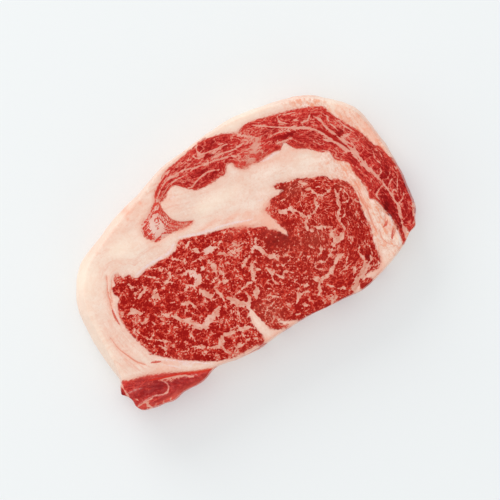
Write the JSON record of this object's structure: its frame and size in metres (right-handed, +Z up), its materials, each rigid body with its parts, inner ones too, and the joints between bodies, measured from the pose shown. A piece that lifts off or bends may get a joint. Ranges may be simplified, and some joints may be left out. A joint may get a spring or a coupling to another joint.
{
  "type": "raw beef steak",
  "caption": "Thick boneless raw rib-eye beef steak, lying on a cut face: round marbled eye muscle, curved cap muscle, thick cream fat cover and a small lip of lean.",
  "frame": {"origin": "on the surface the steak rests on, under the middle of its outline", "axes": "+X along the length, away from the thick fat cover and the lip, +Y towards the side with the cap muscle, +Z up out of the upper cut face"},
  "size_m": [0.1985, 0.1202, 0.0288],
  "materials": {
    "raw_meat": "moist raw beef: dark red lean finely marbled with cream fat, inside a cream fat cover"
  },
  "bodies": {
    "root": {"steak": "raw_meat"}
  },
  "joints": []
}
